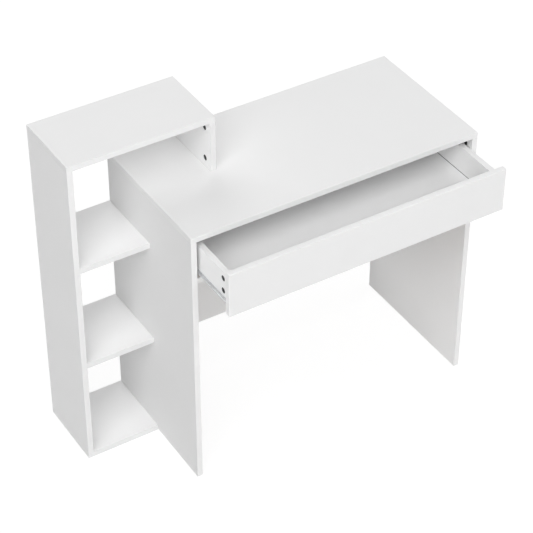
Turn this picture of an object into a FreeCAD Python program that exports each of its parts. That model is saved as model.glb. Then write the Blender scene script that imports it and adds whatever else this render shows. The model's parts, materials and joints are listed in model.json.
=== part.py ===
import FreeCAD, Part
import math
import os

# Student desk of white board with an open shelf unit and a hutch on its left.
# It stands on z = 0, faces -Y, and its drawer is part open. All lengths are in millimetres.

# Carcass
desk_w = 800.0
desk_d = 400.0
desk_h = 750.0
shelf_unit_w = 200.0
shelf_d = 200.0
shelf_names = ("bottom_shelf", "middle_shelf", "upper_shelf")
hutch_h = 150.0
hutch_top_w = 385.0
back_panel_h = 613.0
board_t = 15.0
edge_r = 0.8

# Battens on the desk sides, which stop the drawer front
batten_w = 25.0
batten_h = 15.0
batten_l = 345.0
batten_lap = 3.5
stop_gap = 0.5

# Drawer
drawer_open = 138.0
drawer_front_h = 120.0
front_side_gap = 2.0
front_top_gap = 2.5
drawer_board_t = 15.0
drawer_side_l = 350.0
drawer_side_h = 83.5
drawer_side_drop = 18.0
drawer_bottom_t = 3.0
groove_up = 10.0
groove_depth = 6.0
groove_gap = 0.15
groove_room = 0.85
groove_end_gap = 0.5

# Roller slides under the drawer sides
slide_l = 310.0
slide_w = 10.0
slide_front_gap = 3.0
sheet_t = 1.2
bend_r = 0.6
runner_h = 15.0
runner_foot_w = 12.0
runner_lip_h = 3.5
runner_lip_in = 2.0
track_end_gap = 2.2
guard_w = 7.0
guard_gap = 1.2
roller_d = 12.0
roller_w = 4.0
roller_rim = 0.4
roller_gap = 0.15
roller_in = 9.0
pin_d = 4.0
pin_gap = 0.05
pin_collar_d = 5.6
pin_head_d = 6.0
pin_head_t = 0.4

# Cam locks and their bolts
cam_d = 15.0
cam_reach = 24.0
cam_edge_in = 26.0
cam_sink = 0.4
cam_floor = 2.5
bolt_thread_d = 6.0
bolt_shank_d = 7.0
bolt_neck_d = 4.0
bolt_head_d = 7.0
bolt_head_l = 3.5
bolt_floor = 4.0
drawer_cam_drop = 19.0
drawer_cam_pitch = 35.0

# Dowels
dowel_d = 8.0
dowel_l = 30.0
dowel_chamfer = 0.8
dowel_end_gap = 0.5

# Screws
screw_d = 4.0
screw_head_d = 8.0
batten_screw_bite = 10.0
drawer_back_screw_l = 40.0
slide_screw_d = 3.5
slide_screw_head_d = 6.0
slide_screw_end_gap = 0.6
bottom_screw_d = 3.0
bottom_screw_head_d = 5.4
bottom_screw_l = 20.0

# Cross recesses in cams and screw heads, as shares of the diameter that carries them
cam_cross_share = 0.5
cam_cross_slot_share = 0.12
cam_cross_depth_share = 0.2
screw_cross_share = 0.55
screw_cross_slot_share = 0.15
screw_cross_depth_share = 0.18

# Places of fasteners along the boards that carry them
desk_dowel_shares = (0.3, 0.7)
back_cam_shares = (0.12, 0.82)
back_end_dowel_share = 0.47
back_top_dowel_shares = (0.2, 0.5, 0.8)
slide_screw_shares = (0.1, 0.5, 0.8)
batten_screw_shares = (0.12, 0.5, 0.88)
drawer_back_screw_shares = (0.42, 0.8)
bottom_screw_shares = (0.1, 0.37, 0.63, 0.9)

# Clearance round fasteners, and how far every cut runs past the face it opens
fit_gap = 0.1
overrun = 1.0

# Planes of the carcass
unit_w = shelf_unit_w + desk_w
unit_left = -unit_w / 2
desk_left = unit_left + shelf_unit_w
desk_right = desk_left + desk_w
desk_mid = (desk_left + desk_right) / 2
left_inner = desk_left + board_t
right_inner = desk_right - board_t
shelf_left = unit_left + board_t
drawer_y = -(desk_d + drawer_open) / 2
desk_front = drawer_y + drawer_open
desk_back = desk_front + desk_d
shelf_front = desk_back - shelf_d
back_front = desk_back - board_t
under_top = desk_h - board_t
top_of_hutch = desk_h + hutch_h
under_hutch = top_of_hutch - board_t
hutch_right = unit_left + hutch_top_w
support_left = hutch_right - board_t
back_low = under_top - back_panel_h
shelf_pitch = under_hutch / len(shelf_names)
desk_cam_rows = (desk_front + cam_edge_in, desk_back - cam_edge_in)
shelf_cam_rows = (shelf_front + cam_edge_in, desk_back - cam_edge_in)
shelf_mid = (shelf_front + desk_back) / 2

# Planes of the drawer
front_top = under_top - front_top_gap
front_low = front_top - drawer_front_h
front_inner = drawer_y + board_t
side_top = front_top - drawer_side_drop
side_low = side_top - drawer_side_h
side_end = front_inner + drawer_side_l
box_left = left_inner + slide_w
box_right = right_inner - slide_w
box_inner_left = box_left + drawer_board_t
box_inner_right = box_right - drawer_board_t
floor_low = side_low + groove_up
floor_top = floor_low + drawer_bottom_t
batten_top = front_low + batten_lap
batten_low = batten_top - batten_h
batten_front = desk_front + board_t + stop_gap

# Section of a slide: u runs from the desk side to the drawer side, w is the height above the floor
half_t = sheet_t / 2
bend_mid_r = bend_r + half_t
leg_u = slide_w - sheet_t
runner_low = side_low + runner_h - sheet_t
roller_r = roller_d / 2
roller_z = runner_low - roller_gap - roller_r
roller_mid_u = (runner_lip_in + sheet_t + leg_u) / 2
roller_u = (roller_mid_u - roller_w / 2, roller_mid_u + roller_w / 2)
track_top = roller_z - roller_r - roller_gap
guard_low = side_low + runner_h + guard_gap
slide_y = desk_front + board_t + slide_front_gap
inner_y = slide_y - drawer_open
front_roller_y = slide_y + roller_in
rear_roller_y = inner_y + slide_l - roller_in
slide_screw_l = drawer_board_t - groove_depth - slide_screw_end_gap + sheet_t

RIGHT = FreeCAD.Vector(1, 0, 0)
LEFT = FreeCAD.Vector(-1, 0, 0)
BACK = FreeCAD.Vector(0, 1, 0)
UP = FreeCAD.Vector(0, 0, 1)
DOWN = FreeCAD.Vector(0, 0, -1)
ORIGIN = FreeCAD.Vector(0, 0, 0)

pieces = {}
cuts = {}
groups = {}


def point(x, y, z):
    return FreeCAD.Vector(x, y, z)


def block(x_span, y_span, z_span):
    """A plain box between three pairs of planes."""
    corner = point(x_span[0], y_span[0], z_span[0])
    sizes = [span[1] - span[0] for span in (x_span, y_span, z_span)]
    return Part.makeBox(*sizes, corner)


def board(name, x_span, y_span, z_span):
    """A banded board with its edges eased."""
    plain = block(x_span, y_span, z_span)
    pieces[name] = plain.makeFillet(edge_r, plain.Edges).Solids[0]
    cuts[name] = []


def rod(radius, start, end, axis=RIGHT):
    """A cylinder on an axis through the origin, between two places along it."""
    return Part.makeCylinder(radius, end - start, axis * start, axis)


def between(span_low, span_high, share):
    """A place part of the way from one plane to another."""
    return span_low + (span_high - span_low) * share


def place(shape, at, along, up):
    """A copy of a shape drawn along +X with its face up, moved to where it is used."""
    turned = shape.copy()
    turn = FreeCAD.Rotation(along, up.cross(along), up, "XZY")
    turned.Placement = FreeCAD.Placement(at, turn)
    return turned


def mirrored(shape):
    """The same piece on the other side of the desk."""
    return shape.mirror(point(desk_mid, 0, 0), RIGHT)


def add_to(group, shape):
    groups.setdefault(group, []).append(shape)


def cross(width, slot, depth, face, centre_x):
    """The tool that cuts a cross recess into a face."""
    low = face - depth
    high = face + overrun
    first = block((centre_x - width / 2, centre_x + width / 2), (-slot / 2, slot / 2), (low, high))
    second = block((centre_x - slot / 2, centre_x + slot / 2), (-width / 2, width / 2), (low, high))
    return first.fuse(second)


def cam_span(thickness):
    """Bottom and face of a cam lock, measured from the middle of its board."""
    return (cam_floor - thickness / 2, thickness / 2 - cam_sink)


def cam_lock(thickness):
    """The round lock that turns in the board's face and pulls on the bolt's head."""
    low, face = cam_span(thickness)
    drum = Part.makeCylinder(cam_d / 2, face - low, point(cam_reach, 0, low))
    recess = cross(
        cam_d * cam_cross_share,
        cam_d * cam_cross_slot_share,
        cam_d * cam_cross_depth_share,
        face,
        cam_reach,
    )
    half_head = bolt_head_l / 2 + fit_gap
    head_room = rod(bolt_head_d / 2 + fit_gap, cam_reach - half_head, cam_reach + half_head)
    neck_room = rod(bolt_neck_d / 2 + fit_gap, cam_reach - cam_d, cam_reach)
    return drum.cut([recess, head_room, neck_room])


def cam_bolt():
    """The bolt that screws into the face of one board and is held by the cam in the other."""
    thread = rod(bolt_thread_d / 2, bolt_floor - board_t, 0)
    shank = rod(bolt_shank_d / 2, 0, cam_reach - cam_d / 2 - fit_gap)
    neck = rod(bolt_neck_d / 2, 0, cam_reach)
    head = rod(bolt_head_d / 2, cam_reach - bolt_head_l / 2, cam_reach + bolt_head_l / 2)
    return thread.fuse([shank, neck, head]).removeSplitter()


def cam_joint(group, face_board, end_board, at, along, up, thickness=board_t):
    """Pulls the end of one board against the face of another, with the cam in the side called up."""
    low = cam_span(thickness)[0]
    thread_hole = rod(bolt_thread_d / 2 + fit_gap, bolt_floor - board_t - fit_gap, overrun)
    shank_hole = rod(bolt_shank_d / 2 + fit_gap, -overrun, cam_reach)
    cam_hole = Part.makeCylinder(
        cam_d / 2 + fit_gap,
        thickness / 2 + overrun - low,
        point(cam_reach, 0, low),
    )
    add_to(group + "_cams", place(cam_lock(thickness), at, along, up))
    add_to(group + "_bolts", place(cam_bolt(), at, along, up))
    cuts[face_board].append(place(thread_hole, at, along, up))
    cuts[end_board].append(place(shank_hole, at, along, up))
    cuts[end_board].append(place(cam_hole, at, along, up))


def dowel_joint(group, face_board, end_board, at, along, up):
    """A glued dowel, part in the face of one board and part in the end of the other."""
    bite = board_t - bolt_floor
    radius = dowel_d / 2
    peg = rod(radius, -bite, dowel_l - bite)
    rims = [edge for edge in peg.Edges if edge.Closed]
    peg = peg.makeChamfer(dowel_chamfer, rims).Solids[0]
    face_hole = rod(radius + fit_gap, -bite - dowel_end_gap, overrun)
    end_hole = rod(radius + fit_gap, -overrun, dowel_l - bite + dowel_end_gap)
    add_to(group + "_dowels", place(peg, at, along, up))
    cuts[face_board].append(place(face_hole, at, along, up))
    cuts[end_board].append(place(end_hole, at, along, up))


def countersunk(diameter, head_d, length, head_h, extra=0.0):
    """A screw along +X with its head's face at the origin. The extra is room for its hole."""
    head = Part.makeCone(head_d / 2 + extra, diameter / 2 + extra, head_h, ORIGIN, RIGHT)
    shank = rod(diameter / 2 + extra, head_h, length - diameter)
    tip = Part.makeCone(diameter / 2 + extra, extra, diameter + extra, RIGHT * (length - diameter), RIGHT)
    return head.fuse([shank, tip]).removeSplitter()


def screw(group, boards, at, along, up, diameter, head_d, length, head_h):
    """A countersunk wood screw, and the holes for it in the boards that it holds."""
    body = countersunk(diameter, head_d, length, head_h)
    recess = cross(
        head_d * screw_cross_share,
        head_d * screw_cross_slot_share,
        head_d * screw_cross_depth_share,
        0,
        0,
    )
    recess.rotate(ORIGIN, BACK, -90)
    add_to(group, place(body.cut(recess), at, along, up))
    hole = countersunk(diameter, head_d, length, head_h, fit_gap)
    mouth = rod(head_d / 2 + fit_gap, -overrun, 0)
    hole = hole.fuse(mouth)
    for name in boards:
        cuts[name].append(place(hole, at, along, up))


def section_face(corners):
    """A face in the u-w plane from straight runs and arcs: an arc is given by its middle and end."""
    edges = []
    here = corners[0]
    for step in corners[1:] + [corners[0]]:
        if len(step) == 2:
            edges.append(Part.makeLine(point(here[0], 0, here[1]), point(step[0], 0, step[1])))
            here = step
        else:
            middle, end = step[:2], step[2:]
            arc = Part.Arc(
                point(here[0], 0, here[1]),
                point(middle[0], 0, middle[1]),
                point(end[0], 0, end[1]),
            )
            edges.append(arc.toShape())
            here = end
    return Part.Face(Part.Wire(edges))


def strip_side(path, offset):
    """One face of a bent strip beside its middle line: straight runs, and an arc round each bend."""
    steps = [(path[index + 1] - path[index]).normalize() for index in range(len(path) - 1)]
    beside = [point(-step.z, 0, step.x) * offset for step in steps]
    first = path[0] + beside[0]
    corners = [(first.x, first.z)]
    for index in range(1, len(path) - 1):
        before, after = steps[index - 1], steps[index]
        start = path[index] - before * bend_mid_r + beside[index - 1]
        end = path[index] + after * bend_mid_r + beside[index]
        centre = path[index] - before * bend_mid_r + after * bend_mid_r
        outward = (path[index] - centre).normalize()
        middle = centre + outward * (start - centre).Length
        corners.append((start.x, start.z))
        corners.append((middle.x, middle.z, end.x, end.z))
    last = path[-1] + beside[-1]
    corners.append((last.x, last.z))
    return corners


def bent_strip(places, start_y):
    """A strip of sheet on the left slide, bent square along a middle line and drawn out along Y."""
    path = [point(left_inner + u, 0, w) for u, w in places]
    outline = strip_side(path, half_t) + strip_side(path[::-1], half_t)
    strip = section_face(outline).extrude(BACK * slide_l)
    return strip.translated(BACK * start_y)


def outer_member():
    """The channel on the desk side: a track under the rear roller and a guard over the runner."""
    guard = guard_low + half_t
    track = track_top - half_t
    places = [(guard_w, guard), (half_t, guard), (half_t, track), (leg_u - track_end_gap + half_t, track)]
    return bent_strip(places, slide_y)


def inner_member():
    """The runner on the drawer side: a foot under the board, and a flange that rides on the front roller."""
    lip = runner_lip_in + half_t
    leg = leg_u + half_t
    flange = runner_low + half_t
    foot = side_low - half_t
    lip_end = side_low + runner_h - runner_lip_h
    places = [(lip, lip_end), (lip, flange), (leg, flange), (leg, foot), (leg + runner_foot_w, foot)]
    return bent_strip(places, inner_y)


def across(diameter, u_span, y):
    """A cylinder across the left slide on the rollers' axis, between two places of its section."""
    low, high = sorted(u_span)
    return Part.makeCylinder(diameter / 2, high - low, point(left_inner + low, y, roller_z), RIGHT)


def roller(y):
    """A nylon wheel with eased rims, bored for its pin."""
    wheel = across(roller_d, roller_u, y)
    rims = [edge for edge in wheel.Edges if edge.Closed]
    wheel = wheel.makeChamfer(roller_rim, rims).Solids[0]
    return wheel.cut(across(pin_d + 2 * pin_gap, (-overrun, slide_w + overrun), y))


def roller_pin(y, wall_u, sheet_u, near_u, far_u):
    """A rivet through the sheet that carries a roller, with a collar before it and a head past it."""
    way = math.copysign(pin_gap, far_u - wall_u)
    head_u = far_u + way
    head_end = head_u + math.copysign(pin_head_t, way)
    shaft = across(pin_d, (wall_u, head_end), y)
    collar = across(pin_collar_d, (sheet_u, near_u - way), y)
    head = across(pin_head_d, (head_u, head_end), y)
    return shaft.fuse([collar, head]).removeSplitter()


def both_sides(name, shape, cut_list=()):
    """A piece on the left slide or desk side, and its twin on the right."""
    finished = shape.cut(list(cut_list)) if cut_list else shape
    pieces["left_" + name] = finished
    pieces["right_" + name] = mirrored(finished)


def carcass_boards():
    desk_y = (desk_front, desk_back)
    shelf_y = (shelf_front, desk_back)
    board("desk_left_side", (desk_left, left_inner), desk_y, (0, under_top))
    board("desk_right_side", (right_inner, desk_right), desk_y, (0, under_top))
    board("desktop", (desk_left, desk_right), desk_y, (under_top, desk_h))
    board("back_panel", (left_inner, right_inner), (back_front, desk_back), (back_low, under_top))
    board("shelf_outer_side", (unit_left, shelf_left), shelf_y, (0, under_hutch))
    board("hutch_top", (unit_left, hutch_right), shelf_y, (under_hutch, top_of_hutch))
    board("hutch_support", (support_left, hutch_right), shelf_y, (desk_h, under_hutch))
    for index, shelf in enumerate(shelf_names):
        low = shelf_pitch * index
        board(shelf, (shelf_left, desk_left), shelf_y, (low, low + board_t))


def batten_boards():
    y_span = (batten_front, batten_front + batten_l)
    z_span = (batten_low, batten_top)
    board("left_stop_batten", (left_inner, left_inner + batten_w), y_span, z_span)
    board("right_stop_batten", (right_inner - batten_w, right_inner), y_span, z_span)


def drawer_boards():
    side_y = (front_inner, side_end)
    side_z = (side_low, side_top)
    back_y = (side_end - drawer_board_t, side_end)
    front_x = (left_inner + front_side_gap, right_inner - front_side_gap)
    board("drawer_front", front_x, (drawer_y, front_inner), (front_low, front_top))
    board("drawer_left_side", (box_left, box_inner_left), side_y, side_z)
    board("drawer_right_side", (box_inner_right, box_right), side_y, side_z)
    board("drawer_back", (box_inner_left, box_inner_right), back_y, (floor_top, side_top))
    reach = groove_depth - groove_end_gap
    floor_x = (box_inner_left - reach, box_inner_right + reach)
    pieces["drawer_bottom"] = block(floor_x, (front_inner - reach, side_end), (floor_low, floor_top))
    cuts["drawer_bottom"] = []
    groove_x = (box_inner_left - groove_depth, box_inner_right + groove_depth)
    groove_y = (front_inner - groove_depth, side_end + overrun)
    groove_z = (floor_low - groove_gap, floor_top + groove_room)
    groove = block(groove_x, groove_y, groove_z)
    for name in ("drawer_front", "drawer_left_side", "drawer_right_side"):
        cuts[name].append(groove)


def fasten_desk():
    left_x = desk_left + board_t / 2
    right_x = desk_right - board_t / 2
    back_y = desk_back - board_t / 2
    sides = (("desk_left_side", left_x, RIGHT), ("desk_right_side", right_x, LEFT))
    for side, x, inward in sides:
        for y in desk_cam_rows:
            cam_joint("desktop", "desktop", side, point(x, y, under_top), DOWN, inward)
        for share in desk_dowel_shares:
            y = between(desk_front, desk_back, share)
            dowel_joint("desk", "desktop", side, point(x, y, under_top), DOWN, inward)
        end_x = x + inward.x * board_t / 2
        for share in back_cam_shares:
            z = between(back_low, under_top, share)
            cam_joint("back_panel", side, "back_panel", point(end_x, back_y, z), inward, BACK)
        z = between(back_low, under_top, back_end_dowel_share)
        dowel_joint("desk", side, "back_panel", point(end_x, back_y, z), inward, BACK)
    for share in back_top_dowel_shares:
        x = between(left_inner, right_inner, share)
        dowel_joint("desk", "desktop", "back_panel", point(x, back_y, under_top), DOWN, BACK)


def fasten_shelves():
    ends = (("shelf_outer_side", shelf_left, RIGHT), ("desk_left_side", desk_left, LEFT))
    for index, shelf in enumerate(shelf_names):
        z = shelf_pitch * index + board_t / 2
        for upright, x, inward in ends:
            for y in shelf_cam_rows:
                cam_joint("shelf", upright, shelf, point(x, y, z), inward, DOWN)
            dowel_joint("shelf", upright, shelf, point(x, shelf_mid, z), inward, DOWN)


def fasten_hutch():
    outer_x = unit_left + board_t / 2
    support_x = hutch_right - board_t / 2
    joints = (
        ("hutch_top", "shelf_outer_side", outer_x, under_hutch, DOWN, RIGHT),
        ("hutch_top", "hutch_support", support_x, under_hutch, DOWN, LEFT),
        ("desktop", "hutch_support", support_x, desk_h, UP, LEFT),
    )
    for face_board, end_board, x, z, along, up in joints:
        for y in shelf_cam_rows:
            cam_joint("hutch", face_board, end_board, point(x, y, z), along, up)
        dowel_joint("hutch", face_board, end_board, point(x, shelf_mid, z), along, up)


def fasten_battens():
    z = (batten_low + batten_top) / 2
    length = batten_w + batten_screw_bite
    head_h = (screw_head_d - screw_d) / 2
    sides = (
        ("left_stop_batten", "desk_left_side", left_inner + batten_w, LEFT),
        ("right_stop_batten", "desk_right_side", right_inner - batten_w, RIGHT),
    )
    for batten, side, x, along in sides:
        for share in batten_screw_shares:
            at = point(x, batten_front + batten_l * share, z)
            screw("batten_screws", (batten, side), at, along, UP, screw_d, screw_head_d, length, head_h)


def fasten_drawer():
    head_h = (screw_head_d - screw_d) / 2
    small_head_h = (bottom_screw_head_d - bottom_screw_d) / 2
    back_mid = side_end - drawer_board_t / 2
    sides = (
        ("drawer_left_side", box_left, LEFT, RIGHT),
        ("drawer_right_side", box_right, RIGHT, LEFT),
    )
    for side, outer_x, outward, inward in sides:
        mid_x = outer_x + inward.x * drawer_board_t / 2
        for row in range(2):
            z = side_top - drawer_cam_drop - drawer_cam_pitch * row
            at = point(mid_x, front_inner, z)
            cam_joint("drawer_front", "drawer_front", side, at, BACK, outward, drawer_board_t)
        for share in drawer_back_screw_shares:
            at = point(outer_x, back_mid, between(side_low, side_top, share))
            held = (side, "drawer_back")
            screw("drawer_back_screws", held, at, inward, UP, screw_d, screw_head_d, drawer_back_screw_l, head_h)
    for share in bottom_screw_shares:
        at = point(between(box_inner_left, box_inner_right, share), back_mid, floor_low)
        screw(
            "drawer_bottom_screws",
            ("drawer_bottom", "drawer_back"),
            at,
            UP,
            BACK,
            bottom_screw_d,
            bottom_screw_head_d,
            bottom_screw_l,
            small_head_h,
        )


def fit_slides():
    """Builds the left slide and its twin, and screws them to the desk sides and the drawer sides."""
    near, far = roller_u
    carried = (
        ("outer_slide", outer_member(), slide_y, sheet_t, LEFT, "desk_%s_side", "desk_slide_screws"),
        ("inner_slide", inner_member(), inner_y, leg_u, RIGHT, "drawer_%s_side", "drawer_slide_screws"),
    )
    wheels = (
        ("front_roller", front_roller_y, (0, sheet_t, near, far)),
        ("rear_roller", rear_roller_y, (slide_w, leg_u, far, near)),
    )
    for (name, shape, start_y, face_u, along, holder, group), (wheel, y, seats) in zip(carried, wheels):
        pin_hole = across(pin_d + 2 * pin_gap, (seats[0], seats[1]), y)
        cuts["channel"] = [pin_hole]
        for share in slide_screw_shares:
            at = point(left_inner + face_u, start_y + slide_l * share, roller_z)
            held = ("channel", holder % "left")
            screw(group, held, at, along, UP, slide_screw_d, slide_screw_head_d, slide_screw_l, sheet_t)
            add_to(group, mirrored(groups[group][-1]))
            cuts[holder % "right"].append(mirrored(cuts["channel"][-1]))
        both_sides(name, shape, cuts.pop("channel"))
        both_sides(wheel, roller(y))
        pin = roller_pin(y, *seats)
        add_to(wheel + "_pins", pin)
        add_to(wheel + "_pins", mirrored(pin))


def finish_pieces():
    """Drills the boards and gathers each kind of fastener into one group of separate solids."""
    for name, tools in cuts.items():
        if tools:
            pieces[name] = pieces[name].cut(tools)
    for name, solids in groups.items():
        pieces[name] = Part.makeCompound(solids)


carcass_boards()
batten_boards()
drawer_boards()
fasten_desk()
fasten_shelves()
fasten_hutch()
fasten_battens()
fasten_drawer()
fit_slides()
finish_pieces()

os.makedirs("parts", exist_ok=True)
for name, shape in pieces.items():
    shape.exportStep("parts/%s.step" % name)
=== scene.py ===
import json
import math

import bpy
from mathutils import Matrix, Vector


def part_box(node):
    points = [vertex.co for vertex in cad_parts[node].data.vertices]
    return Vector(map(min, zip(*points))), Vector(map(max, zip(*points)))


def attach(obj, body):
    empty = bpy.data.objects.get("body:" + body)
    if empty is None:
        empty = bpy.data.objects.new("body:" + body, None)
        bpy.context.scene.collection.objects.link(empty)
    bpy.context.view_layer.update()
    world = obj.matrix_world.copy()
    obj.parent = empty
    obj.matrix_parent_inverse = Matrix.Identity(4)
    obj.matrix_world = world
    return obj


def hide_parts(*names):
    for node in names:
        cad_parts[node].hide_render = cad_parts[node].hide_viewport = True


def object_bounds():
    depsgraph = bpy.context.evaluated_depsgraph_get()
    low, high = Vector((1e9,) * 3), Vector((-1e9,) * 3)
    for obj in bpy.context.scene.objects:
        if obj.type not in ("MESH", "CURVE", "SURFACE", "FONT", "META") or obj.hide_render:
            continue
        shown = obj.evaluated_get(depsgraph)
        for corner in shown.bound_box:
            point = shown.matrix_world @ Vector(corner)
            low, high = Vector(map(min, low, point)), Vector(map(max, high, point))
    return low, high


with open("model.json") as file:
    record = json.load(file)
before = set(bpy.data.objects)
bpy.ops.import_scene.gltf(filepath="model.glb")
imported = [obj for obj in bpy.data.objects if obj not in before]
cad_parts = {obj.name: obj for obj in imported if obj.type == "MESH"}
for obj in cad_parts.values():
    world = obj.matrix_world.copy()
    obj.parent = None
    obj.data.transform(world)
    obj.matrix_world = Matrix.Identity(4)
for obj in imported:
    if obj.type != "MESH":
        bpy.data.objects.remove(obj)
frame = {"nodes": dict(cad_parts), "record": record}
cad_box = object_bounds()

# Looks of a white student desk with a shelf unit, a hutch and a part open drawer.
# Lengths are in metres, and colours are linear.

MM = 0.001

# Camera, at the photograph's place and angle
camera_place = Vector((-1.94644, -3.11208, 3.41510))
camera_turn = math.radians(-31.777)
camera_rise = math.radians(38.881)
camera_roll = math.radians(0.092)
camera_lens = 130.07
sensor_width = 36.0

# Studio: large soft lamps far round the desk, in a room that looks white
sky_light = 0.01
lamp_reach = 12.0
lamp_size = 9.0
LAMPS = {
    "front_left_lamp": {"turn": -45.0, "rise": 40.0, "power": 880.0},
    "high_left_lamp": {"turn": -40.0, "rise": 60.0, "power": 205.0},
    "front_lamp": {"turn": 0.0, "rise": 35.0, "power": 215.0},
    "front_right_lamp": {"turn": 45.0, "rise": 25.0, "power": 215.0},
    "low_front_lamp": {"turn": -5.0, "rise": 12.0, "power": 160.0},
    "right_lamp": {"turn": 90.0, "rise": 35.0, "power": 480.0},
    "back_lamp": {"turn": 180.0, "rise": 40.0, "power": 525.0},
}
floor_span = 40.0
floor_drop = 0.2 * MM
floor_tone = 0.92
floor_glow = 0.87
floor_shade_tone = 0.18

# Board finishes: how white a board's faces and its edge bands are, by slot or for one board alone.
# The whites set for single boards are mostly painted light and shade, chosen to stand in for how light falls
# on each:
# whiter faces on boards that stand in shade (back panel, right side, battens, hutch support, drawer boards)
# and on the drawer front's ends, and darker on the drawer front's face and on the drawer back.
# Some boards are painted on one side alone: painted shade on the desktop's underside and on the tops of the
# drawer's boards, and painted light on the drawer front's rear.
BOARD_TONES_AND_PAINTED_LIGHT = {
    "white_board": {"face": 0.82, "band": 0.8},
    "drawer_board": {"face": 0.97, "band": 0.97, "top": 0.83},
    "desktop": {"face": 0.82, "band": 0.82, "underside": 0.58},
    "desk_left_side": {"face": 0.8, "band": 0.81},
    "desk_right_side": {"face": 0.88, "band": 0.8},
    "back_panel": {"face": 0.89, "band": 0.8},
    "left_stop_batten": {"face": 0.97, "band": 0.97},
    "right_stop_batten": {"face": 0.97, "band": 0.97},
    "bottom_shelf": {"face": 0.85, "band": 0.8},
    "middle_shelf": {"face": 0.85, "band": 0.8},
    "upper_shelf": {"face": 0.85, "band": 0.8},
    "hutch_support": {"face": 0.96, "band": 0.79},
    "drawer_front": {"face": 0.77, "band": 0.91, "rear": 0.97, "top": 0.83},
    "drawer_back": {"face": 0.5, "band": 0.5},
}
# Where each one-sided white goes: painted shade under a board and on its top, painted light on its rear
PAINTED_SIDES = {
    "underside": {"axis": 2, "low": True},
    "top": {"axis": 2, "low": False},
    "rear": {"axis": 1, "low": False},
}
# How deep from a board's face a painted side's white reaches, before it fades over as much again
painted_side_t = 0.15 * MM
mottle_swing = 0.015
foil_gloss = 0.2
band_t = 0.8 * MM
glue_line_w = 0.12 * MM
glue_line_share = 0.45
glue_tone_share = 0.55
arris_w = 1.2 * MM
worn_share = 0.25
worn_tint = (0.93, 0.92, 0.9)
pearl_height = 0.25
mottle_height = 0.2

# Drawer bottom: white lacquer on brown pressed fibre, with a painted shadow line along its rim, in the
# grooves and just inside the drawer's sides
lacquer_tone = 0.97
cloud_tone_share = 0.97
lacquer_height = 0.2
fibre_t = 0.4 * MM
fibre_fade = 0.4 * MM
fibre_dark = (0.16, 0.085, 0.04, 1.0)
fibre_pale = (0.30, 0.18, 0.095, 1.0)
fibre_height = 0.5
mesh_pitch = 1.6 * MM
# Painted shadow line along the floor's rim: its grey, how far in past the sides it stays fully dark, and how
# wide it fades
rim_shadow_tone = 0.12
rim_show = 0.1 * MM
rim_fade = 1.8 * MM

# Metal, nylon and wood
zinc_dull = (0.58, 0.59, 0.60, 1.0)
zinc_bright = (0.75, 0.76, 0.77, 1.0)
zinc_dirt = (0.50, 0.50, 0.49, 1.0)
spangle_scale = 260.0
spangle_share = 0.6
nylon_dull = (0.74, 0.74, 0.71, 1.0)
nylon_bright = (0.82, 0.82, 0.80, 1.0)
casting_dark = (0.045, 0.045, 0.046, 1.0)
casting_pale = (0.085, 0.085, 0.087, 1.0)
casting_rubbed = (0.15, 0.15, 0.15, 1.0)
casting_metallic = 0.75
plating_grey = (0.60, 0.60, 0.59, 1.0)
plating_yellow = (0.68, 0.65, 0.55, 1.0)
beech_dark = (0.52, 0.34, 0.19, 1.0)
beech_pale = (0.70, 0.51, 0.32, 1.0)
beech_fleck = (0.33, 0.18, 0.09, 1.0)

# Patterns of the finishes: their cells to the metre, their levels of detail, and how an axis draws them out
EVEN = (1.0, 1.0, 1.0)
GRAINS = {
    "mottle": {"scale": 7.0, "detail": 3.0, "stretch": EVEN},
    "pearl": {"scale": 1600.0, "detail": 2.0, "stretch": EVEN},
    "handled": {"scale": 19.0, "detail": 4.0, "stretch": EVEN},
    "fibre": {"scale": 420.0, "detail": 5.0, "stretch": (1.0, 0.35, 1.0)},
    "lacquer": {"scale": 240.0, "detail": 2.0, "stretch": EVEN},
    "clouds": {"scale": 6.0, "detail": 3.0, "stretch": EVEN},
    "streaks": {"scale": 900.0, "detail": 3.0, "stretch": (1.0, 0.012, 1.0)},
    "dirt": {"scale": 45.0, "detail": 4.0, "stretch": EVEN},
    "nylon_cast": {"scale": 260.0, "detail": 3.0, "stretch": EVEN},
    "nylon_wear": {"scale": 1300.0, "detail": 2.0, "stretch": EVEN},
    "skin": {"scale": 1800.0, "detail": 4.0, "stretch": EVEN},
    "tarnish": {"scale": 350.0, "detail": 3.0, "stretch": EVEN},
    "plating_cast": {"scale": 500.0, "detail": 3.0, "stretch": EVEN},
    "turning": {"scale": 2600.0, "detail": 2.0, "stretch": EVEN},
    "rings": {"scale": 420.0, "detail": 3.0, "stretch": (1.0, 0.2, 0.2)},
    "flecks": {"scale": 1400.0, "detail": 1.0, "stretch": (0.12, 1.0, 1.0)},
}

# Patterns that show as patches: the values at which a patch starts and is full, and how well it then covers
PATCHES = {
    "dirt": {"start": 0.55, "end": 0.8, "last": 0.4},
    "rubbed": {"start": 0.62, "end": 0.85, "last": 0.5},
    "flecks": {"start": 0.6, "end": 0.72, "last": 0.7},
}

# How rough each finish is, and what its patterns add to that
ROUGHNESS = {
    "foil": {"plain": 0.48, "handled": 0.10, "pearl": 0.04, "arris": -0.06, "band": -0.03},
    "lacquer": {"plain": 0.42, "clouds": 0.08},
    "fibre": {"plain": 0.72, "fibre": 0.15},
    "zinc": {"plain": 0.26, "streaks": 0.16, "cloud": 0.06, "dirt": 0.06},
    "nylon": {"plain": 0.34, "cast": 0.12, "wear": 0.10},
    "casting": {"plain": 0.42, "tarnish": 0.18, "skin": 0.08},
    "plating": {"plain": 0.22, "cast": 0.14, "turning": 0.08},
    "beech": {"plain": 0.62, "rings": 0.14},
}

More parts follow.
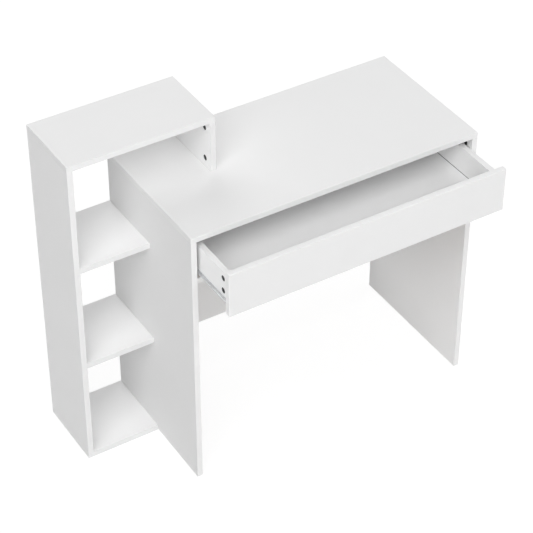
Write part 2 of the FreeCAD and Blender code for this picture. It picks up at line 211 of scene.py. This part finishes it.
# How deep the relief of each finish is, and how strongly it shows
RELIEF = {
    "foil": {"depth": 0.03 * MM, "strength": 0.6},
    "hardboard": {"depth": 0.12 * MM, "strength": 0.5},
    "zinc": {"depth": 0.02 * MM, "strength": 0.5},
    "nylon": {"depth": 0.02 * MM, "strength": 0.4},
    "casting": {"depth": 0.05 * MM, "strength": 0.5},
    "plating": {"depth": 0.01 * MM, "strength": 0.5},
    "beech": {"depth": 0.06 * MM, "strength": 0.4},
}

# Modelling: how squarely a face has to look one way and how near it has to lie to be picked, how close points
# have to be to count as one, and how far faces may turn from each other and still look smooth
facing = 0.9
facing_squarely = 0.99
near_share = 1 / 8
weld_gap = 0.002 * MM
smooth_angle = math.radians(35)

# Cam locks
cam_sides = 48
cam_rim_bevel = 0.5 * MM
cam_rim_steps = 3
cam_rim_w = 1.0 * MM
cam_dish_w = 0.4 * MM
cam_dish_depth = 0.3 * MM
cam_cross_w = 7.5 * MM
cam_slot_w = 1.9 * MM
cam_cross_depth = 3.0 * MM
cam_cross_taper = 0.62
cam_arrow_sides = 3
cam_arrow_r = 1.1 * MM
cam_arrow_h = 0.25 * MM
bolt_neck_room = 2.1 * MM
bolt_head_room = 3.6 * MM
bolt_head_span = 3.7 * MM

# Screws
screw_sides = 24
screw_rim_bevel = 0.12 * MM
screw_rim_steps = 2
screw_tip_share = 0.12
screw_cross_share = 0.52
screw_slot_share = 0.13
screw_recess_share = 0.2
screw_recess_taper = 0.55
thread_pitch_share = 0.45
thread_depth_share = 0.2
thread_root = 0.1 * MM
thread_steps = 16
thread_sides = 3
SCREWS = {
    "desk_slide_screws": {"body": "carcass", "shank": 3.5 * MM, "head": 1.2 * MM},
    "drawer_slide_screws": {"body": "drawer", "shank": 3.5 * MM, "head": 1.2 * MM},
    "batten_screws": {"body": "carcass", "shank": 4.0 * MM, "head": 2.0 * MM},
    "drawer_back_screws": {"body": "drawer", "shank": 4.0 * MM, "head": 2.0 * MM},
    "drawer_bottom_screws": {"body": "drawer", "shank": 3.0 * MM, "head": 1.2 * MM},
}


class Wire:
    """One socket of a finish's node tree. Sums on it add Math nodes, and node() adds any other."""

    def __init__(self, tree, socket=None):
        self.tree = tree
        self.socket = socket

    def node(self, kind, settings=None, sockets=None, output=0):
        """Adds a node: settings come first, then a link or a value for each socket."""
        made = self.tree.nodes.new("ShaderNode" + kind)
        for name, value in (settings or {}).items():
            setattr(made, name, value)
        for name, value in (sockets or {}).items():
            if isinstance(value, Wire):
                self.tree.links.new(value.socket, made.inputs[name])
            else:
                made.inputs[name].default_value = value
        return Wire(self.tree, made.outputs[output] if made.outputs else None)

    def math(self, operation, first, second=0.0):
        return self.node("Math", {"operation": operation}, {0: first, 1: second})

    def __add__(self, other):
        return self.math("ADD", self, other)

    __radd__ = __add__

    def __sub__(self, other):
        return self.math("SUBTRACT", self, other)

    def __rsub__(self, other):
        return self.math("SUBTRACT", other, self)

    def __mul__(self, other):
        return self.math("MULTIPLY", self, other)

    __rmul__ = __mul__

    def __abs__(self):
        return self.math("ABSOLUTE", self)

    def least(self, other):
        return self.math("MINIMUM", self, other)

    def most(self, other):
        return self.math("MAXIMUM", self, other)

    def fade(self, start, end, first=0.0, last=1.0):
        """Goes smoothly from one value to another as this one goes from start to end."""
        sockets = {"Value": self, "From Min": start, "From Max": end, "To Min": first, "To Max": last}
        return self.node("MapRange", {"interpolation_type": "SMOOTHSTEP"}, sockets)

    def line(self, at, width):
        """One where this value is close to a place, and nought away from it."""
        return abs(self - at).fade(0.0, width, 1.0, 0.0)

    def wave(self, pitch):
        """Swings between nought and one, once in each pitch."""
        return self.math("SINE", self * (math.tau / pitch)) * 0.5 + 0.5

    def tint(self, first, second):
        """A colour between two others, with this value as the share of the second."""
        return self.node("Mix", {"data_type": "RGBA"}, {0: self, 6: first, 7: second}, output=2)

    def part(self, axis):
        """The X, Y or Z of this place."""
        return self.node("SeparateXYZ", sockets={0: self}, output=axis)

    def grain(self, pattern):
        """Noise from nought to one at this place, drawn out along an axis by a small stretch."""
        grain = GRAINS[pattern]
        spot = self.node("Mapping", sockets={"Vector": self, "Scale": grain["stretch"]})
        sockets = {"Vector": spot, "Scale": grain["scale"], "Detail": grain["detail"]}
        return self.node("TexNoise", sockets=sockets)

    def bump(self, finish):
        """A normal from this height, where one is a rise by the depth of the finish's relief."""
        relief = RELIEF[finish]
        sockets = {"Height": self, "Distance": relief["depth"], "Strength": relief["strength"]}
        return self.node("Bump", sockets=sockets)


def grey(tone):
    """A plain grey as a colour."""
    return (tone, tone, tone, 1.0)


def new_finish(name):
    """An empty material, and the place on the piece as the first wire of its tree."""
    material = bpy.data.materials.new(name)
    material.use_nodes = True
    material.node_tree.nodes.clear()
    spot = Wire(material.node_tree).node("TexCoord", output="Object")
    return material, spot


def seal(spot, **sockets):
    """Ends a finish with one shader. Socket names are written with underscores for blanks."""
    named = {name.replace("_", " "): value for name, value in sockets.items()}
    shader = spot.node("BsdfPrincipled", sockets=named)
    spot.node("OutputMaterial", sockets={"Surface": shader})


def roughness(finish, **patterns):
    """How rough a finish is where its patterns have these values."""
    rough = ROUGHNESS[finish]["plain"]
    for name, pattern in patterns.items():
        rough = rough + pattern * ROUGHNESS[finish][name]
    return rough


def depths_in_box(spot, node):
    """How deep a place lies under each pair of a board's faces, along X, Y and Z, and which axis is thin."""
    low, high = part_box(node)
    half = (high - low) / 2
    from_middle = spot.node("VectorMath", {"operation": "SUBTRACT"}, {0: spot, 1: (low + high) / 2})
    away = spot.node("VectorMath", {"operation": "ABSOLUTE"}, {0: from_middle})
    under = spot.node("VectorMath", {"operation": "SUBTRACT"}, {0: half, 1: away})
    thin = min(range(3), key=lambda axis: half[axis])
    return [under.part(axis) for axis in range(3)], thin


def mottled(mottle, tone):
    """A white of this tone, a little darker and lighter by turns."""
    return mottle.tint(grey(tone * (1 - mottle_swing)), grey(tone * (1 + mottle_swing)))


def white_board(node, tones):
    """White foil on chipboard: a fine pearl, faint mottling, a glue line beside each edge band, and on some
    boards one side painted whiter (painted light) or darker (painted shade).
    """
    material, spot = new_finish(node + "_foil")
    depths, thin = depths_in_box(spot, node)
    across, along = [depths[axis] for axis in range(3) if axis != thin]
    to_edge = across.least(along)
    glue_line = to_edge.line(band_t, glue_line_w)
    band = to_edge.fade(band_t, band_t + glue_line_w, 1.0, 0.0)
    to_arris = across.most(along).least(to_edge.most(depths[thin]))
    arris = to_arris.fade(0.0, arris_w, 1.0, 0.0)
    mottle, pearl, handled = [spot.grain(pattern) for pattern in ("mottle", "pearl", "handled")]
    color = band.tint(mottled(mottle, tones["face"]), mottled(mottle, tones["band"]))
    low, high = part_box(node)
    # Painted light and shade: one side of some boards gets a whiter or darker white of its own.
    for side in [side for side in PAINTED_SIDES if side in tones]:
        axis = PAINTED_SIDES[side]["axis"]
        place = spot.part(axis)
        depth = place - low[axis] if PAINTED_SIDES[side]["low"] else high[axis] - place
        painted_side_share = depth.fade(painted_side_t, 2 * painted_side_t, 1.0, 0.0)
        color = painted_side_share.tint(color, mottled(mottle, tones[side]))
    worn = (*[tones["face"] * share for share in worn_tint], 1.0)
    color = (arris * handled * worn_share).tint(color, worn)
    color = (glue_line * glue_line_share).tint(color, grey(tones["face"] * glue_tone_share))
    rough = roughness("foil", handled=handled, pearl=pearl, arris=arris, band=band)
    height = pearl * pearl_height + mottle * mottle_height - glue_line
    seal(spot, Base_Color=color, Roughness=rough, Normal=height.bump("foil"), Specular_IOR_Level=foil_gloss)
    return material


def painted_rim_shadow(place):
    """One on the drawer floor's rim in the grooves of the drawer's sides and just inside them, fading to
    nought further in: a painted shadow line.
    """
    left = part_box("drawer_left_side")[1].x
    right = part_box("drawer_right_side")[0].x
    inside = (place[0] - left).least(right - place[0])
    return inside.fade(rim_show, rim_show + rim_fade, 1.0, 0.0)


def hardboard(node):
    """Thin board: white lacquer above, with a painted shadow line along its rim, and brown fibre with the
    print of a mesh below.
    """
    material, spot = new_finish(node + "_hardboard")
    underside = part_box(node)[0].z
    place = [spot.part(axis) for axis in range(3)]
    below = place[2].fade(underside + fibre_t, underside + fibre_t + fibre_fade, 1.0, 0.0)
    mesh_print = place[0].wave(mesh_pitch) * place[1].wave(mesh_pitch)
    fibre, lacquer, clouds = [spot.grain(pattern) for pattern in ("fibre", "lacquer", "clouds")]
    white = clouds.tint(grey(lacquer_tone * cloud_tone_share), grey(lacquer_tone))
    color = below.tint(white, fibre.tint(fibre_dark, fibre_pale))
    # Painted shadow: a dark grey line along the floor's rim beside the drawer's sides.
    color = painted_rim_shadow(place).tint(color, grey(rim_shadow_tone))
    lacquer_rough = roughness("lacquer", clouds=clouds)
    fibre_rough = roughness("fibre", fibre=fibre)
    rough = lacquer_rough * (1 - below) + fibre_rough * below
    height = lacquer * lacquer_height * (1 - below) + (mesh_print + fibre * fibre_height) * below
    seal(spot, Base_Color=color, Roughness=rough, Normal=height.bump("hardboard"))
    return material


def rolled_zinc(name):
    """Zinc plated steel strip, rolled lengthwise: fine streaks along the slide and faint cloudy spangles."""
    material, spot = new_finish(name)
    streaks, dirt = [spot.grain(pattern) for pattern in ("streaks", "dirt")]
    spangle = spot.node("TexVoronoi", sockets={"Vector": spot, "Scale": spangle_scale}, output="Color")
    cloud = spot.node("SeparateColor", sockets={0: spangle})
    color = (cloud * spangle_share + streaks * (1 - spangle_share)).tint(zinc_dull, zinc_bright)
    color = dirt.fade(**PATCHES["dirt"]).tint(color, zinc_dirt)
    rough = roughness("zinc", streaks=streaks, cloud=cloud, dirt=dirt)
    seal(spot, Base_Color=color, Roughness=rough, Metallic=1.0, Normal=streaks.bump("zinc"))
    return material


def satin_nylon(name):
    """Moulded white rollers: a soft satin skin with a faint yellow cast and a fine worn grain."""
    material, spot = new_finish(name)
    cast, wear = [spot.grain(pattern) for pattern in ("nylon_cast", "nylon_wear")]
    color = cast.tint(nylon_dull, nylon_bright)
    rough = roughness("nylon", cast=cast, wear=wear)
    seal(spot, Base_Color=color, Roughness=rough, Normal=wear.bump("nylon"))
    return material


def die_cast_zinc(name):
    """Dull dark casting of the cam locks: a sandy skin, paler where the driver has rubbed it."""
    material, spot = new_finish(name)
    skin, tarnish = [spot.grain(pattern) for pattern in ("skin", "tarnish")]
    color = tarnish.tint(casting_dark, casting_pale)
    color = skin.fade(**PATCHES["rubbed"]).tint(color, casting_rubbed)
    rough = roughness("casting", tarnish=tarnish, skin=skin)
    seal(spot, Base_Color=color, Roughness=rough, Metallic=casting_metallic, Normal=skin.bump("casting"))
    return material


def plated_steel(name):
    """Bright zinc plating of pins, screws and bolts, with a faint yellow cast in places."""
    material, spot = new_finish(name)
    cast, turning = [spot.grain(pattern) for pattern in ("plating_cast", "turning")]
    color = cast.tint(plating_grey, plating_yellow)
    rough = roughness("plating", cast=cast, turning=turning)
    seal(spot, Base_Color=color, Roughness=rough, Metallic=1.0, Normal=turning.bump("plating"))
    return material


def bare_beech(name):
    """Dowels: close pale grain with short dark flecks."""
    material, spot = new_finish(name)
    rings, flecks = [spot.grain(pattern) for pattern in ("rings", "flecks")]
    color = rings.tint(beech_dark, beech_pale)
    color = flecks.fade(**PATCHES["flecks"]).tint(color, beech_fleck)
    rough = roughness("beech", rings=rings)
    seal(spot, Base_Color=color, Roughness=rough, Normal=(rings + flecks).bump("beech"))
    return material


def hold(piece):
    """Selects one piece alone, for the next operator."""
    bpy.ops.object.select_all(action="DESELECT")
    bpy.context.view_layer.objects.active = piece
    piece.select_set(True)


def start(kind, **sizes):
    """Adds a primitive with nothing else selected, its place in its mesh."""
    bpy.ops.object.select_all(action="DESELECT")
    add = {
        "cube": bpy.ops.mesh.primitive_cube_add,
        "cylinder": bpy.ops.mesh.primitive_cylinder_add,
        "circle": bpy.ops.mesh.primitive_circle_add,
        "plane": bpy.ops.mesh.primitive_plane_add,
    }[kind]
    add(**sizes)
    bpy.ops.object.transform_apply(location=True, rotation=True, scale=True)
    return bpy.context.object


def stop_editing():
    """Closes the piece that is open for editing."""
    bpy.ops.object.mode_set(mode="OBJECT")


def pick(piece, wanted, mode="FACE"):
    """Opens a piece with the faces picked whose middle and normal suit, or the edges whose ends do."""
    stop_editing()
    bpy.context.tool_settings.mesh_select_mode = (False, mode == "EDGE", mode == "FACE")
    mesh = piece.data
    for part in (mesh.vertices, mesh.edges, mesh.polygons):
        part.foreach_set("select", [False] * len(part))
    if mode == "FACE":
        for face in mesh.polygons:
            face.select = wanted(face.center, face.normal)
    else:
        for edge in mesh.edges:
            ends = [mesh.vertices[corner].co for corner in edge.vertices]
            edge.select = all(wanted(end) for end in ends)
    bpy.ops.object.mode_set(mode="EDIT")


def extrude(step, scale=1.0):
    """Draws the picked faces out by a step and scales what was drawn about the piece's axis."""
    bpy.ops.mesh.extrude_region_move(TRANSFORM_OT_translate={"value": step})
    if scale != 1.0:
        bpy.ops.transform.resize(value=(scale, scale, 1.0))


def join(pieces, name):
    """Makes one piece of several."""
    bpy.ops.object.select_all(action="DESELECT")
    for piece in pieces:
        piece.select_set(True)
    bpy.context.view_layer.objects.active = pieces[0]
    if len(pieces) > 1:
        bpy.ops.object.join()
    pieces[0].name = name
    pieces[0].data.name = name
    return pieces[0]


def carve(piece, tool, operation="DIFFERENCE"):
    """Cuts a tool out of a piece, or welds it on, and throws the tool away."""
    hold(piece)
    modifier = piece.modifiers.new("carve", "BOOLEAN")
    modifier.object = tool
    modifier.operation = operation
    modifier.solver = "EXACT"
    bpy.ops.object.modifier_apply(modifier=modifier.name)
    bpy.data.objects.remove(tool)


def smooth(piece):
    """Shades a piece smooth, apart from its sharp edges."""
    hold(piece)
    bpy.ops.object.shade_smooth_by_angle(angle=smooth_angle)


def cross_tool(width, slot, depth, taper):
    """A cross with its top above a face at z = 0, narrowing as it goes down."""
    tool = start("cube", size=1.0, scale=(slot, slot, 2 * depth))
    arm = (width - slot) / 2
    near = slot * near_share
    for way in [unit(axis, sign) for axis in (0, 1) for sign in (1, -1)]:
        wall = way * slot / 2
        pick(tool, lambda middle, normal: normal.dot(way) > facing and (middle - wall).length < near)
        extrude(way * arm)
    pick(tool, lambda middle, normal: normal.z < -facing)
    bpy.ops.transform.resize(value=(taper, taper, 1.0))
    stop_editing()
    return tool


def cam_lock(radius, height, bolt_drop):
    """One cam lock with its face at z = 0 and its bolt coming in along +X."""
    lock = start("cylinder", vertices=cam_sides, radius=radius, depth=height, location=(0, 0, -height / 2))
    pick(lock, lambda end: end.z > -cam_rim_bevel, "EDGE")
    bpy.ops.mesh.bevel(offset=cam_rim_bevel, segments=cam_rim_steps)
    pick(lock, lambda middle, normal: normal.z > facing_squarely)
    bpy.ops.mesh.inset(thickness=cam_rim_w)
    bpy.ops.mesh.inset(thickness=cam_dish_w, depth=-cam_dish_depth)
    stop_editing()
    arrow_x = radius - cam_rim_bevel - cam_rim_w - cam_dish_w - cam_arrow_r
    arrow = start("cylinder", vertices=cam_arrow_sides, radius=cam_arrow_r, depth=2 * cam_arrow_h,
                  location=(arrow_x, 0, -cam_dish_depth), rotation=(0, 0, -math.pi / 2))
    carve(lock, arrow, "UNION")
    carve(lock, cross_tool(cam_cross_w, cam_slot_w, cam_cross_depth, cam_cross_taper))
    neck = start("cylinder", vertices=cam_sides // 2, radius=bolt_neck_room, depth=2 * radius,
                 location=(radius, 0, -bolt_drop), rotation=(0, math.pi / 2, 0))
    carve(lock, neck)
    pocket = start("cylinder", vertices=cam_sides // 2, radius=bolt_head_room, depth=bolt_head_span,
                   location=(0, 0, -bolt_drop), rotation=(0, math.pi / 2, 0))
    carve(lock, pocket)
    smooth(lock)
    return lock


def solids_of(node):
    """The points of each separate solid of a group of fasteners."""
    copy = frame["nodes"][node].copy()
    copy.data = copy.data.copy()
    copy.parent = None
    bpy.context.scene.collection.objects.link(copy)
    hold(copy)
    bpy.ops.object.mode_set(mode="EDIT")
    bpy.ops.mesh.select_all(action="SELECT")
    bpy.ops.mesh.remove_doubles(threshold=weld_gap)
    bpy.ops.mesh.separate(type="LOOSE")
    stop_editing()
    parts = list(bpy.context.selected_objects)
    solids = [[vertex.co.copy() for vertex in part.data.vertices] for part in parts]
    for part in parts:
        bpy.data.objects.remove(part)
    return solids


def box_of(points):
    """The low and the high corner of the box round some points."""
    low = Vector([min(point[axis] for point in points) for axis in range(3)])
    high = Vector([max(point[axis] for point in points) for axis in range(3)])
    return low, high


def unit(axis, sign):
    """A step of one along an axis, forwards or backwards."""
    way = Vector((0, 0, 0))
    way[axis] = 1.0 if sign > 0 else -1.0
    return way


def off_axis(step, axis):
    """How far a step leads away from an axis."""
    return math.hypot(step[(axis + 1) % 3], step[(axis + 2) % 3])


def set_in_place(model, at, up, along, name):
    """A copy of a model with its own mesh, its +Z turned to up and its +X to along."""
    copy = model.copy()
    copy.data = model.data.copy()
    copy.name = name
    bpy.context.scene.collection.objects.link(copy)
    side = up.cross(along)
    turn = Matrix((along, side, up)).transposed().to_4x4()
    copy.data.transform(Matrix.Translation(at) @ turn)
    return copy


def thread_ridge(outer, core, pitch, top, turns):
    """A three-sided ridge that winds down round the Z axis, its foot a little inside the core."""
    # The circle round an even triangle has two thirds of the triangle's height as its radius.
    reach = (outer - core + thread_root) * 2 / 3
    ridge = start("circle", vertices=thread_sides, radius=reach, location=(outer - reach, 0, top),
                  rotation=(math.pi / 2, math.pi / 2, 0))
    winding = ridge.modifiers.new("winding", "SCREW")
    winding.axis = "Z"
    winding.screw_offset = -pitch
    winding.iterations = turns
    winding.steps = thread_steps
    winding.render_steps = thread_steps
    bpy.ops.object.modifier_apply(modifier=winding.name)
    bpy.ops.object.mode_set(mode="EDIT")
    bpy.ops.mesh.select_all(action="SELECT")
    bpy.ops.mesh.fill_holes(sides=thread_sides)
    bpy.ops.mesh.normals_make_consistent(inside=False)
    stop_editing()
    return ridge


def wood_screw(shank_d, head_d, head_h, length):
    """One countersunk screw pointing down, with its head's face at z = 0."""
    core = shank_d / 2 * (1 - thread_depth_share)
    pitch = shank_d * thread_pitch_share
    straight = length - head_h - shank_d
    screw = start("cylinder", vertices=screw_sides, radius=core, depth=straight,
                  location=(0, 0, -head_h - straight / 2))
    pick(screw, lambda middle, normal: normal.z < -facing)
    extrude((0, 0, -shank_d), screw_tip_share)
    pick(screw, lambda middle, normal: normal.z > facing)
    extrude((0, 0, head_h), head_d / 2 / core)
    pick(screw, lambda end: end.z > -head_h / 2, "EDGE")
    bpy.ops.mesh.bevel(offset=screw_rim_bevel, segments=screw_rim_steps)
    stop_editing()
    turns = int(straight / pitch - 1)
    carve(screw, thread_ridge(shank_d / 2, core, pitch, -head_h - pitch, turns), "UNION")
    cross_w = head_d * screw_cross_share
    slot_w = head_d * screw_slot_share
    recess_depth = head_d * screw_recess_share
    carve(screw, cross_tool(cross_w, slot_w, recess_depth, screw_recess_taper))
    smooth(screw)
    return screw


def stand_for(node, copies, name, body):
    """Joins copies of a model into one piece that stands for a group of plain fasteners."""
    slot = slots[node]
    piece = join(copies, name)
    piece.data.materials.clear()
    piece.data.materials.append(finishes[slot])
    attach(piece, body)
    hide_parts(node)


def fit_screws(group, body, shank, head):
    """Replaces a group of plain screws by modelled ones, each with its head where its plain one has it."""
    placed = []
    model = None
    for points in solids_of(group):
        low, high = box_of(points)
        middle, size = (low + high) / 2, high - low
        long = max(range(3), key=lambda axis: size[axis])
        widest = max(points, key=lambda point: off_axis(point - middle, long))
        up = unit(long, widest[long] - middle[long])
        along = unit((long + 1) % 3, 1)
        if model is None:
            model = wood_screw(shank, size[(long + 2) % 3], head, size[long])
        placed.append(set_in_place(model, middle + up * size[long] / 2, up, along, "screw"))
    bpy.data.objects.remove(model)
    stand_for(group, placed, group.replace("screws", "wood_screws"), body)


def fit_cams(group, body):
    """Replaces a group of plain cam locks by modelled ones, each facing as its plain one does."""
    cams = [box_of(points) for points in solids_of(group + "_cams")]
    bolts = [box_of(points) for points in solids_of(group + "_bolts")]
    placed = []
    model = None
    for low, high in cams:
        middle, size = (low + high) / 2, high - low
        thin = min(range(3), key=lambda axis: size[axis])
        bolt = min(bolts, key=lambda ends: ((ends[0] + ends[1]) / 2 - middle).length)
        bolt_middle, bolt_size = (bolt[0] + bolt[1]) / 2, bolt[1] - bolt[0]
        long = max(range(3), key=lambda axis: bolt_size[axis])
        up = unit(thin, middle[thin] - bolt_middle[thin])
        along = unit(long, bolt_middle[long] - middle[long])
        at = middle + up * size[thin] / 2
        if model is None:
            model = cam_lock(max(size) / 2, size[thin], abs(at[thin] - bolt_middle[thin]))
        placed.append(set_in_place(model, at, up, along, "cam"))
    bpy.data.objects.remove(model)
    stand_for(group + "_cams", placed, group + "_cam_locks", body)


def set_camera():
    """A camera at the place and angle of the photograph."""
    camera = bpy.data.objects.new("camera", bpy.data.cameras.new("camera"))
    bpy.context.scene.collection.objects.link(camera)
    camera.data.sensor_width = sensor_width
    camera.data.lens = camera_lens
    camera.location = camera_place
    camera.rotation_euler = (math.pi / 2 - camera_rise, 0, camera_turn)
    camera.rotation_euler.rotate_axis("Z", camera_roll)
    bpy.context.scene.camera = camera


def seen_directly(wire):
    """One where the camera looks straight at a surface, or by way of metal or glass."""
    ray_names = ("Is Camera Ray", "Is Glossy Ray", "Is Transmission Ray")
    rays = [wire.node("LightPath", output=name) for name in ray_names]
    return wire.node("Clamp", sockets={"Value": rays[0] + rays[1] + rays[2]})


def set_world():
    """A sky that gives little light and looks white."""
    world = bpy.data.worlds.new("studio")
    world.use_nodes = True
    world.node_tree.nodes.clear()
    wire = Wire(world.node_tree)
    soft = wire.node("Background", sockets={"Color": grey(1.0), "Strength": sky_light})
    white = wire.node("Background", sockets={"Color": grey(1.0), "Strength": 1.0})
    mixed = wire.node("MixShader", sockets={0: seen_directly(wire), 1: soft, 2: white})
    wire.node("OutputWorld", sockets={"Surface": mixed})
    bpy.context.scene.world = world


def lay_floor():
    """A pale floor that looks white where nothing shades it."""
    floor = start("plane", size=floor_span, location=(0, 0, -floor_drop))
    floor.name = "floor"
    material, wire = new_finish("pale_floor")
    plain = wire.node("BsdfDiffuse", sockets={"Color": grey(floor_tone)})
    shade = wire.node("BsdfDiffuse", sockets={"Color": grey(floor_shade_tone)})
    glow = wire.node("Emission", sockets={"Color": grey(1.0), "Strength": floor_glow})
    white = wire.node("AddShader", sockets={0: shade, 1: glow})
    mixed = wire.node("MixShader", sockets={0: seen_directly(wire), 1: plain, 2: white})
    wire.node("OutputMaterial", sockets={"Surface": mixed})
    floor.data.materials.append(material)


def hang_lamps():
    """Square lamps all round, which face the middle of the desk and are hidden from the camera."""
    middle = (cad_box[0] + cad_box[1]) / 2
    for name, lamp in LAMPS.items():
        light = bpy.data.lights.new(name, "AREA")
        light.shape = "SQUARE"
        light.size = lamp_size
        light.energy = lamp["power"]
        hung = bpy.data.objects.new(name, light)
        bpy.context.scene.collection.objects.link(hung)
        turn, rise = math.radians(lamp["turn"]), math.radians(lamp["rise"])
        back = Vector((math.sin(turn) * math.cos(rise), -math.cos(turn) * math.cos(rise), math.sin(rise)))
        hung.location = middle + back * lamp_reach
        hung.rotation_euler = back.to_track_quat("Z", "Y").to_euler()
        hung.visible_camera = False


finishes = {
    "slide_steel": rolled_zinc("rolled_zinc"),
    "roller_nylon": satin_nylon("satin_nylon"),
    "pin_steel": plated_steel("plated_pins"),
    "cam_zinc": die_cast_zinc("die_cast_zinc"),
    "bolt_steel": plated_steel("plated_bolts"),
    "screw_steel": plated_steel("plated_screws"),
    "dowel_wood": bare_beech("bare_beech"),
}
slots = {part["node"]: part["material_slot"] for part in frame["record"]["subparts"]}
for node, piece in frame["nodes"].items():
    slot = slots[node]
    # Each board takes its own whites where it has them, most of these painted light and shade, and its slot's
    # otherwise
    if slot in BOARD_TONES_AND_PAINTED_LIGHT:
        piece.data.materials[0] = white_board(node, BOARD_TONES_AND_PAINTED_LIGHT.get(node, BOARD_TONES_AND_PAINTED_LIGHT[slot]))
    elif slot == "hardboard":
        piece.data.materials[0] = hardboard(node)
    else:
        piece.data.materials[0] = finishes[slot]

for group in ("desktop", "back_panel", "shelf", "hutch"):
    fit_cams(group, "carcass")
fit_cams("drawer_front", "drawer")
for group, screws in SCREWS.items():
    fit_screws(group, screws["body"], screws["shank"], screws["head"])

bpy.context.scene.view_settings.view_transform = "Standard"
set_camera()
set_world()
lay_floor()
hang_lamps()
